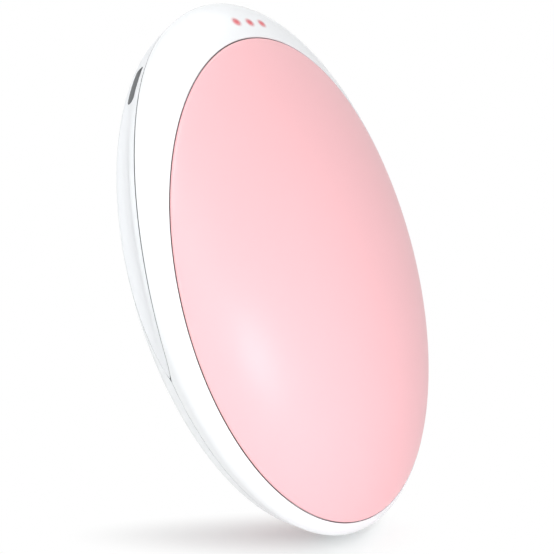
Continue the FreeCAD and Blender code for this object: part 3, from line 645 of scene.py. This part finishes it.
def hollow_depth(y, z):
    """Depth of the finger hollow: a shallow scoop that narrows towards its ends, with a crisp edge."""
    along = (z - HOLLOW_RISE) / HOLLOW_HALF_LENGTH
    across = (y - HOLLOW_SHIFT) / HOLLOW_HALF_WIDTH
    bare = HOLLOW_DEPTH * (1 - along ** 2 - across ** 2)
    return (bare + math.hypot(bare, HOLLOW_SOFTNESS)) / 2


def strip_reach(y, z, hollow):
    """Distance of a strip's skin from the middle plane, with or without the finger hollow."""
    return side_reach(y, z) - (hollow_depth(y, z) if hollow else 0.0)


# %% Two strips from two grids
STRIP_STEPS, STRIP_LANES = 280, 72
STRIP_GAP = 0.15 * MM
STRIP_DEPTH = 3.2 * MM
STRIP_ROUND = 0.12 * MM
SEAM_DEPTH = 0.1 * MM
SLOT_LENGTH, SLOT_WIDTH, SLOT_CORNER = 6.95 * MM, 2.45 * MM, 0.75 * MM
POCKET_LENGTH, POCKET_WIDTH, POCKET_TOP = 7.9 * MM, 2.9 * MM, -1.15 * MM
BUTTON_LENGTH, BUTTON_WIDTH, BUTTON_GAP = 9.5 * MM, 3.6 * MM, 0.15 * MM
CUT_DEPTH, CUT_RISE = 6.0 * MM, 3.0 * MM


def side_strip(name, hand, hollow):
    """A grid bent onto the pebble's side, then thickened."""
    clear_selection()
    bpy.ops.mesh.primitive_grid_add(x_subdivisions=STRIP_STEPS, y_subdivisions=STRIP_LANES, size=2)
    piece = started(name)

    def place(point):
        z = STRIP_RISE + (STRIP_HALF_LENGTH - STRIP_GAP) * point.x
        y = -hand * point.y * spindle(z, STRIP_GAP)
        return Vector((hand * strip_reach(y, z, hollow), y, z))

    slide_points(piece, place)
    weld(piece, face_out=False)
    middle = piece.data.polygons[len(piece.data.polygons) // 2]
    if middle.normal.x * hand < 0:
        piece.data.flip_normals()
    apply_modifier(piece, "SOLIDIFY", thickness=STRIP_DEPTH, offset=-1)
    round_edges(piece, STRIP_ROUND, segments=2)
    return piece


def paint_seam_shade(piece, hollow):
    """Paints the grey shade of the seams on the faces that lie below the strip's skin."""
    piece.data.materials.append(outer["seam_painted_shade"])
    for face in piece.data.polygons:
        x, y, z = face.center
        if strip_reach(y, z, hollow) - abs(x) > SEAM_DEPTH:
            face.material_index = 1


port_strip = side_strip("port_strip", LEFT, True)
slot_cutter = stadium_block("slot_cutter", PORT_FRAME, SLOT_LENGTH, SLOT_WIDTH, -CUT_DEPTH, CUT_RISE,
                            SLOT_CORNER)
pocket_cutter = stadium_block("pocket_cutter", PORT_FRAME, POCKET_LENGTH, POCKET_WIDTH, -CUT_DEPTH,
                              POCKET_TOP)
combine(port_strip, "DIFFERENCE", slot_cutter, pocket_cutter)
tidy_skin(port_strip)
done(port_strip, "housing", ["port_side_strip"], outer["strip_pale"])
paint_seam_shade(port_strip, True)
button_strip = side_strip("button_strip", RIGHT, False)
button_cutter = stadium_block("button_cutter", BUTTON_FRAME, BUTTON_LENGTH + 2 * BUTTON_GAP,
                              BUTTON_WIDTH + 2 * BUTTON_GAP, -CUT_DEPTH, CUT_RISE)
combine(button_strip, "DIFFERENCE", button_cutter)
tidy_skin(button_strip)
done(button_strip, "housing", ["button_side_strip"], outer["strip_pale"])
paint_seam_shade(button_strip, False)

# %% [markdown]
# ## Power button
# The button is a rounded key that stands a little proud of the strip. Its cap is a block with round
# ends whose top follows the side of the pebble. Behind the strip it has a wider flange, which stops
# it falling out, and a stem, which pushes the switch.

# %% Button
BUTTON_PROUD = 0.35 * MM
BUTTON_ROUND = 0.3 * MM
FLANGE_TOP, FLANGE_BACK, STEM_END = -3.65 * MM, -4.45 * MM, -5.65 * MM
FLANGE_REACH = 0.7 * MM
STEM_DIAMETER = 2.0 * MM
TOP_RINGS, TOP_RING_WIDTH = 3, 0.45 * MM
UPWARD = 0.9
LIFT_RANGE, LIFT_TRIES = 2.0 * MM, 30


def surface_lift(place, x, y):
    """Height of the pebble's side over a point of a place's own plane."""
    low, high = -LIFT_RANGE, LIFT_RANGE
    for _ in range(LIFT_TRIES):
        middle = (low + high) / 2
        point = place @ Vector((x, y, middle))
        if abs(point.x) < side_reach(point.y, point.z):
            low = middle
        else:
            high = middle
    return low


def follow_side(point):
    """A point of the cap's top, lifted to the pebble's side. Other points stay."""
    if point.z <= 0:
        return point
    return Vector((point.x, point.y, point.z + surface_lift(BUTTON_FRAME, point.x, point.y)))


cap = stadium_block("button_cap", Matrix(), BUTTON_LENGTH, BUTTON_WIDTH, FLANGE_BACK, BUTTON_PROUD)
only(cap)
bpy.ops.object.mode_set(mode="EDIT")
bpy.ops.mesh.select_all(action="DESELECT")
bpy.ops.object.mode_set(mode="OBJECT")
for face in cap.data.polygons:
    face.select = face.normal.z > UPWARD
bpy.ops.object.mode_set(mode="EDIT")
for _ in range(TOP_RINGS):
    bpy.ops.mesh.inset(thickness=TOP_RING_WIDTH, depth=0)
bpy.ops.object.mode_set(mode="OBJECT")
slide_points(cap, follow_side)
round_edges(cap, BUTTON_ROUND, segments=4)
cap.data.transform(BUTTON_FRAME)
flange = stadium_block("button_flange", BUTTON_FRAME, BUTTON_LENGTH + 2 * FLANGE_REACH,
                       BUTTON_WIDTH + 2 * FLANGE_REACH, FLANGE_BACK, FLANGE_TOP)
stem = stadium_block("button_stem", BUTTON_FRAME, STEM_DIAMETER, STEM_DIAMETER, STEM_END, FLANGE_TOP)
combine(cap, "UNION", flange, stem)
cap.name = "button_key"
tidy_skin(cap)
done(cap, "button", ["power_button"], outer["button_white"])

# %% [markdown]
# ## The rest of the solids
# The port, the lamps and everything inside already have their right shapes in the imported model, so
# they stay and only get their finishes.

# %% Finishes of the port, the lamps and the inside
METAL = {"Metallic": 1.0}
LIT_LAMP = {"Emission Color": (1.0, 0.05, 0.04, 1), "Emission Strength": 2.0}
# painted glow: the light guide gives off a faint red light of its own and is tinted red near the lamps
GUIDE_PAINTED_EMISSION = {"Emission Color": (1.0, 0.07, 0.08, 1), "Emission Strength": 0.18}
GUIDE_PAINTED_GLOW = (0.55, 0.12, 0.14, 1)

# two shades, range of the roughness, patches and grains per metre, bump, other sockets
inner = finishes({
    # the port's steel is kept dark as painted shade for the inside of the slot
    "port_steel": (((0.13, 0.135, 0.14), (0.18, 0.185, 0.19)), (0.4, 0.5), 300, 4000, 0.05, METAL),
    "black_plastic": (((0.02, 0.02, 0.022), (0.035, 0.035, 0.038)), (0.4, 0.6), 200, 3000, 0.08),
    "contact_gold": (((0.78, 0.58, 0.24), (0.85, 0.66, 0.32)), (0.15, 0.25), 500, 5000, 0.02, METAL),
    "pale_plastic": (((0.76, 0.74, 0.66), (0.82, 0.80, 0.72)), (0.35, 0.5), 150, 2000, 0.04),
    "board_green": (((0.03, 0.17, 0.07), (0.06, 0.25, 0.10)), (0.25, 0.4), 120, 1800, 0.06),
    "chip_black": (((0.02, 0.02, 0.024), (0.04, 0.04, 0.045)), (0.5, 0.65), 200, 5000, 0.1),
    "ferrite_grey": (((0.09, 0.09, 0.10), (0.15, 0.15, 0.16)), (0.55, 0.75), 250, 4000, 0.12),
    "capacitor_tan": (((0.40, 0.28, 0.15), (0.50, 0.36, 0.21)), (0.35, 0.5), 400, 4000, 0.05),
    "pouch_foil": (((0.66, 0.67, 0.69), (0.76, 0.77, 0.79)), (0.22, 0.4), 60, 700, 0.15, METAL),
    "tab_nickel": (((0.62, 0.60, 0.54), (0.72, 0.70, 0.64)), (0.25, 0.35), 300, 3000, 0.05, METAL),
    "wire_red": (((0.52, 0.03, 0.03), (0.62, 0.05, 0.04)), (0.35, 0.5), 200, 2500, 0.05),
    "wire_white": (((0.76, 0.75, 0.72), (0.82, 0.81, 0.78)), (0.35, 0.5), 200, 2500, 0.05),
    "frame_grey": (((0.27, 0.28, 0.30), (0.32, 0.33, 0.35)), (0.45, 0.6), 60, 1800, 0.1),
    "heater_film": (((0.55, 0.26, 0.05), (0.66, 0.35, 0.09)), (0.2, 0.35), 80, 1500, 0.05),
    "sensor_black": (((0.03, 0.03, 0.03), (0.05, 0.05, 0.05)), (0.15, 0.3), 400, 4000, 0.03),
    "foam_grey": (((0.18, 0.18, 0.19), (0.26, 0.26, 0.27)), (0.8, 0.95), 300, 1500, 0.6),
    "screw_steel": (((0.45, 0.45, 0.47), (0.55, 0.55, 0.57)), (0.25, 0.4), 300, 3000, 0.05, METAL),
    "panel_tape": (((0.035, 0.03, 0.03), (0.06, 0.05, 0.05)), (0.7, 0.9), 150, 2000, 0.2),
    "red_lamp": (((0.80, 0.08, 0.06), (0.90, 0.12, 0.08)), (0.1, 0.2), 300, 2000, 0.02, LIT_LAMP),
    "red_light_guide": (((0.93, 0.91, 0.91), (0.96, 0.94, 0.94)), (0.3, 0.4), 500, 2500, 0.02,
                        GUIDE_PAINTED_EMISSION),
})
# the lamps' glow, painted red into the light guide
paint_lamp_glow(inner["red_light_guide"], lamp_places, GUIDE_PAINTED_GLOW)
for entry in frame["record"]["subparts"]:
    if entry["node"] not in replaced:
        node = frame["nodes"][entry["node"]]
        node.data.materials.clear()
        node.data.materials.append(inner[entry["material_slot"]])
print("finished", len(frame["nodes"]) - len(replaced), "solids of the packed model")

# %% [markdown]
# ## Floor and light
# The photograph is a bright studio picture on white. The floor takes a soft streak of shadow beside
# the object and is plain white further away, so no horizon shows. Mirrored rays see the same white.
# The world gives an even fill, and eight soft lamps model the form. The key lamp stands high on the
# left in front, and weaker ones on the left and in front light the side strip and show its hollow. A
# faint one on the right keeps the far edge clear, one above throws the shadow to the left, one low
# behind on the right lights the back, and two small ones close to the panel draw its broad highlight.

# %% Floor
FLOOR_SIZE = 4.0
FLOOR_SHADES = ((0.90, 0.915, 0.91), (0.92, 0.935, 0.93))
NO_GLOSS = {"Specular IOR Level": 0.0}
SHADOW_START = (-11.5 * MM, 6.5 * MM)
SHADOW_TURN = math.radians(112)
SHADOW_LENGTH, SHADOW_HEEL, SHADOW_HALF_WIDTH = 85 * MM, 24 * MM, 9 * MM


def seen_directly(tree):
    """One for rays from the camera and mirrored or refracted ones, zero for scattered light."""
    rays = add_node(tree, "LightPath").outputs
    mirrored = reckon(tree, "MAXIMUM", rays["Is Glossy Ray"], rays["Is Transmission Ray"])
    return reckon(tree, "MAXIMUM", rays["Is Camera Ray"], mirrored)


clear_selection()
bpy.ops.mesh.primitive_plane_add(size=FLOOR_SIZE, location=(0, 0, cad_box[0][2]))
floor = started("studio_floor")
floor_white = finish("floor_white", FLOOR_SHADES, (0.8, 0.9), 3, 60, 0.0, NO_GLOSS)
tree = floor_white.node_tree
streak = add_node(tree, "Mapping", {"Vector": tree.nodes["Texture Coordinate"].outputs["Object"],
                                    "Location": (*SHADOW_START, 0),
                                    "Rotation": (0, 0, SHADOW_TURN)}, vector_type="TEXTURE")
axes = add_node(tree, "SeparateXYZ", {"Vector": streak.outputs["Vector"]}).outputs
along = reckon(tree, "MAXIMUM", reckon(tree, "DIVIDE", axes["X"], SHADOW_LENGTH),
               reckon(tree, "DIVIDE", axes["X"], -SHADOW_HEEL))
across = reckon(tree, "DIVIDE", axes["Y"], SHADOW_HALF_WIDTH)
squares = [reckon(tree, "MULTIPLY", share, share) for share in (along, across)]
out = reckon(tree, "SQRT", reckon(tree, "ADD", *squares))
away = add_node(tree, "MapRange", {"Value": out}, interpolation_type="SMOOTHSTEP")
plain_white = reckon(tree, "MULTIPLY", away.outputs["Result"], seen_directly(tree))
paper = add_node(tree, "Emission")
blend = add_node(tree, "MixShader", {"Fac": plain_white,
                                     1: tree.nodes["Principled BSDF"].outputs["BSDF"],
                                     2: paper.outputs["Emission"]})
tree.links.new(blend.outputs["Shader"], tree.nodes["Material Output"].inputs["Surface"])
floor.data.materials.append(floor_white)

# %% World
FILL_COLOUR, FILL_STRENGTH = (0.97, 0.985, 1.0, 1), 0.30
WHITE = (1, 1, 1, 1)
world = bpy.data.worlds.new("studio")
bpy.context.scene.world = world
world.use_nodes = True
tree = world.node_tree
fill = tree.nodes["Background"]
fill.inputs["Color"].default_value = FILL_COLOUR
fill.inputs["Strength"].default_value = FILL_STRENGTH
white = add_node(tree, "Background", {"Color": WHITE})
choice = add_node(tree, "MixShader", {"Fac": seen_directly(tree), 1: fill.outputs["Background"],
                                      2: white.outputs["Background"]})
tree.links.new(choice.outputs["Shader"], tree.nodes["World Output"].inputs["Surface"])

# %% Lamps
PLAIN, COOL = (1, 1, 1), (0.96, 0.93, 1.0)

# place, point aimed at, width and height in metres, power in watts, tint
LAMPS = {
    "highlight_lamp": ((-0.029, -0.080, -0.028), (-0.025, -0.010, -0.005), (0.02, 0.03), 0.0155, COOL),
    "low_lamp": ((-0.022, -0.068, -0.044), (-0.022, -0.010, -0.015), (0.02, 0.018), 0.0008, COOL),
    "key_lamp": ((-0.27, -0.25, 0.32), (0, 0, 0.01), (0.25, 0.25), 0.99, PLAIN),
    "left_lamp": ((-0.42, -0.10, 0.05), (-0.02, 0, 0), (0.20, 0.25), 0.38, PLAIN),
    "front_lamp": ((-0.20, -0.42, 0.05), (0, 0, 0), (0.20, 0.25), 0.26, PLAIN),
    "right_lamp": ((0.30, -0.36, 0.06), (0, 0, 0), (0.25, 0.25), 0.05, PLAIN),
    "shadow_lamp": ((0.12, -0.14, 0.48), (0, 0, -0.03), (0.25, 0.25), 0.32, PLAIN),
    "back_lamp": ((0.40, 0.32, 0.0), (0, 0, 0), (0.25, 0.08), 0.9, PLAIN),
}


def soft_lamp(name, place, aim, size, power, tint):
    """A soft rectangular lamp, invisible to the camera."""
    clear_selection()
    bpy.ops.object.light_add(type="AREA", location=place)
    lamp = bpy.context.object
    lamp.name = name
    lamp.rotation_euler = (Vector(aim) - Vector(place)).to_track_quat("-Z", "Y").to_euler()
    lamp.data.shape = "RECTANGLE"
    lamp.data.size, lamp.data.size_y = size
    lamp.data.energy = power
    lamp.data.color = tint
    lamp.visible_camera = False
    return lamp


lamps = {name: soft_lamp(name, *settings) for name, settings in LAMPS.items()}
lamps["back_lamp"].visible_glossy = False
print("floor, world and", len(lamps), "lamps are in place")
